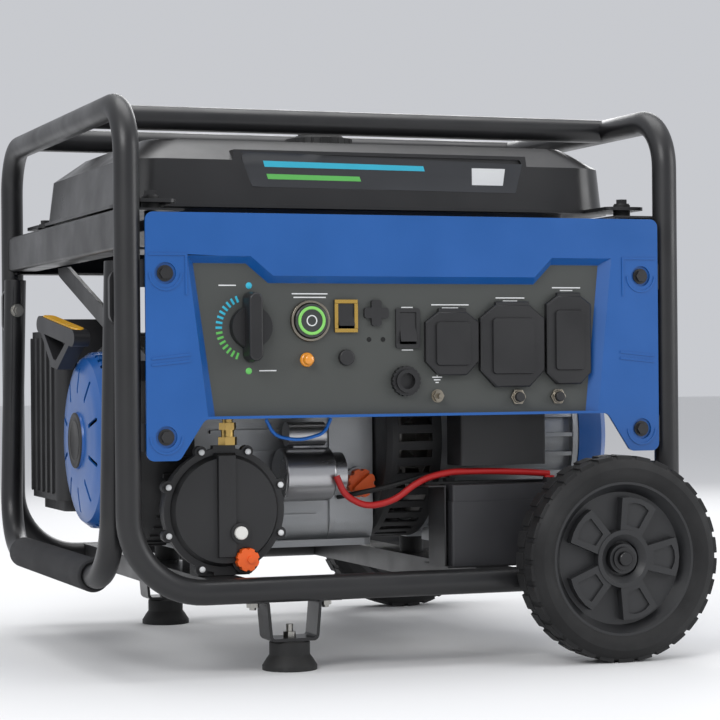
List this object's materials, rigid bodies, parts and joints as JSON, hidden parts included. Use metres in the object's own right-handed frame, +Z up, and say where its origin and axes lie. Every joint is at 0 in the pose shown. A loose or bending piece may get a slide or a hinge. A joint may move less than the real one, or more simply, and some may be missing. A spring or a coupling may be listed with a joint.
{
  "type": "portable generator",
  "caption": "Portable open-frame generator with tube frame, top fuel tank, front control panel with covered outlets, engine and alternator in line, two wheels, feet and a folding handle",
  "frame": {"origin": "On the ground under the middle of the machine's bounding box", "axes": "+Z up, -Y faces the operator at the control panel, +X toward the operator's right, where the wheels are"},
  "size_m": [0.7128, 0.74, 0.6433],
  "materials": {
    "frame_black": "satin",
    "kit_black": "satin",
    "tyre_rubber": "matte",
    "rim_grey": "satin",
    "foot_rubber": "matte",
    "bolt_steel": "zinc plated",
    "grip_foam": "matte foam",
    "tank_black": "satin",
    "cap_black": "matte",
    "panel_blue": "soft gloss",
    "control_grey": "matte",
    "box_black": "matte",
    "knob_black": "satin",
    "button_green": "gloss",
    "ring_metal": "satin",
    "case_alu": "as cast",
    "steel": "machined",
    "starter_silver": "satin",
    "muffler_steel": "heat dulled",
    "grip_dark": "satin",
    "plug_red": "matte",
    "wire_black": "matte",
    "cap_orange": "satin",
    "button_white": "satin",
    "brass": "satin",
    "battery_grey": "satin",
    "bracket_black": "satin"
  },
  "bodies": {
    "machine": {"air_cleaner": "box_black", "alternator_bell": "box_black", "alternator_end_cover": "panel_blue", "alternator_housing": "case_alu", "alternator_stator": "steel", "axle": "kit_black", "battery": "battery_grey", "battery_bracket": "bracket_black", "battery_cable_black": "wire_black", "battery_cable_red": "plug_red", "carburettor": "case_alu", "control_box": "box_black", "control_face": "control_grey", "control_rings": "ring_metal", "engine_crankcase": "case_alu", "engine_cylinder": "case_alu", "fan_shroud": "box_black", "fill_caps": "cap_orange", "flange_bolts": "bolt_steel", "foot_pads": "foot_rubber", "frame_beams": "frame_black", "frame_cross_members": "frame_black", "frame_tubes": "frame_black", "front_panel": "panel_blue", "gas_fitting": "brass", "kit_bolts": "bolt_steel", "kit_brackets": "kit_black", "muffler": "muffler_steel", "outlet_bodies": "box_black", "panel_terminals": "ring_metal", "recoil_cover": "panel_blue", "regulator_body": "box_black", "regulator_cover": "box_black", "rubber_mounts": "foot_rubber", "shaft_bearings": "steel", "spark_plug_cap": "plug_red", "starter_motor": "starter_silver", "tank_lower_shell": "tank_black", "tank_upper_shell": "tank_black"},
    "wheel_front": {"wheel_tyre_front": "tyre_rubber", "wheel_rim_front": "rim_grey"},
    "wheel_rear": {"wheel_tyre_rear": "tyre_rubber", "wheel_rim_rear": "rim_grey"},
    "handle": {"handle_tube": "kit_black", "handle_grip": "grip_foam"},
    "fuel_selector": {"fuel_selector_knob": "knob_black"},
    "start": {"start_button": "button_green"},
    "reset": {"reset_button": "box_black"},
    "gas_button": {"regulator_button": "button_white"},
    "breaker_left": {"breaker_button_left": "box_black"},
    "breaker_right": {"breaker_button_right": "box_black"},
    "engine_switch": {"engine_rocker": "box_black"},
    "voltage_switch": {"voltage_rocker": "box_black"},
    "cover_left": {"outlet_cover_left": "knob_black"},
    "cover_middle": {"outlet_cover_middle": "knob_black"},
    "cover_right": {"outlet_cover_right": "knob_black"},
    "crank": {"crankshaft": "steel", "alternator_rotor": "steel"},
    "recoil": {"recoil_grip": "grip_dark"},
    "tank_cap": {"fuel_cap": "cap_black"}
  },
  "joints": [
    {"name": "wheel_spin_front", "type": "hinge", "parent": "machine", "child": "wheel_front", "pos_m": [0.2384, -0.344, 0.118], "axis": [0, 1, 0], "continuous": true},
    {"name": "wheel_spin_rear", "type": "hinge", "parent": "machine", "child": "wheel_rear", "pos_m": [0.2384, 0.344, 0.118], "axis": [0, 1, 0], "continuous": true},
    {"name": "handle_fold", "type": "hinge", "parent": "machine", "child": "handle", "pos_m": [-0.33, 0, 0.417], "axis": [0, 1, 0], "range_deg": [0, 95]},
    {"name": "fuel_selector_turn", "type": "hinge", "parent": "machine", "child": "fuel_selector", "pos_m": [-0.188, -0.32, 0.384], "axis": [0, 1, 0], "range_deg": [0, 180]},
    {"name": "start_press", "type": "slide", "parent": "machine", "child": "start", "axis": [0, 1, 0], "range_m": [0, 0.003], "stiffness_N_per_m": 400},
    {"name": "reset_press", "type": "slide", "parent": "machine", "child": "reset", "axis": [0, 1, 0], "range_m": [0, 0.003], "stiffness_N_per_m": 400},
    {"name": "gas_press", "type": "slide", "parent": "machine", "child": "gas_button", "axis": [0, 1, 0], "range_m": [0, 0.003], "stiffness_N_per_m": 300},
    {"name": "breaker_press_left", "type": "slide", "parent": "machine", "child": "breaker_left", "axis": [0, 1, 0], "range_m": [0, 0.003], "stiffness_N_per_m": 400},
    {"name": "breaker_press_right", "type": "slide", "parent": "machine", "child": "breaker_right", "axis": [0, 1, 0], "range_m": [0, 0.003], "stiffness_N_per_m": 400},
    {"name": "engine_switch_tip", "type": "hinge", "parent": "machine", "child": "engine_switch", "pos_m": [-0.0765, -0.3, 0.3963], "axis": [1, 0, 0], "range_deg": [0, 18]},
    {"name": "voltage_switch_tip", "type": "hinge", "parent": "machine", "child": "voltage_switch", "pos_m": [-0.0025, -0.3, 0.3825], "axis": [1, 0, 0], "range_deg": [0, 18]},
    {"name": "cover_left_lift", "type": "hinge", "parent": "machine", "child": "cover_left", "pos_m": [0.05, -0.3085, 0.4018], "axis": [-1, 0, 0], "range_deg": [0, 100]},
    {"name": "cover_middle_lift", "type": "hinge", "parent": "machine", "child": "cover_middle", "pos_m": [0.1245, -0.3085, 0.4098], "axis": [-1, 0, 0], "range_deg": [0, 100]},
    {"name": "cover_right_lift", "type": "hinge", "parent": "machine", "child": "cover_right", "pos_m": [0.1955, -0.3085, 0.4203], "axis": [-1, 0, 0], "range_deg": [0, 100]},
    {"name": "crank_spin", "type": "hinge", "parent": "machine", "child": "crank", "pos_m": [0, -0.075, 0.256], "axis": [1, 0, 0], "continuous": true},
    {"name": "recoil_pull", "type": "slide", "parent": "machine", "child": "recoil", "axis": [-1, 0, 0], "range_m": [0, 0.08], "stiffness_N_per_m": 100},
    {"name": "tank_cap_turn", "type": "hinge", "parent": "machine", "child": "tank_cap", "pos_m": [0, 0, 0], "axis": [0, 0, 1], "range_deg": [0, 90]}
  ]
}
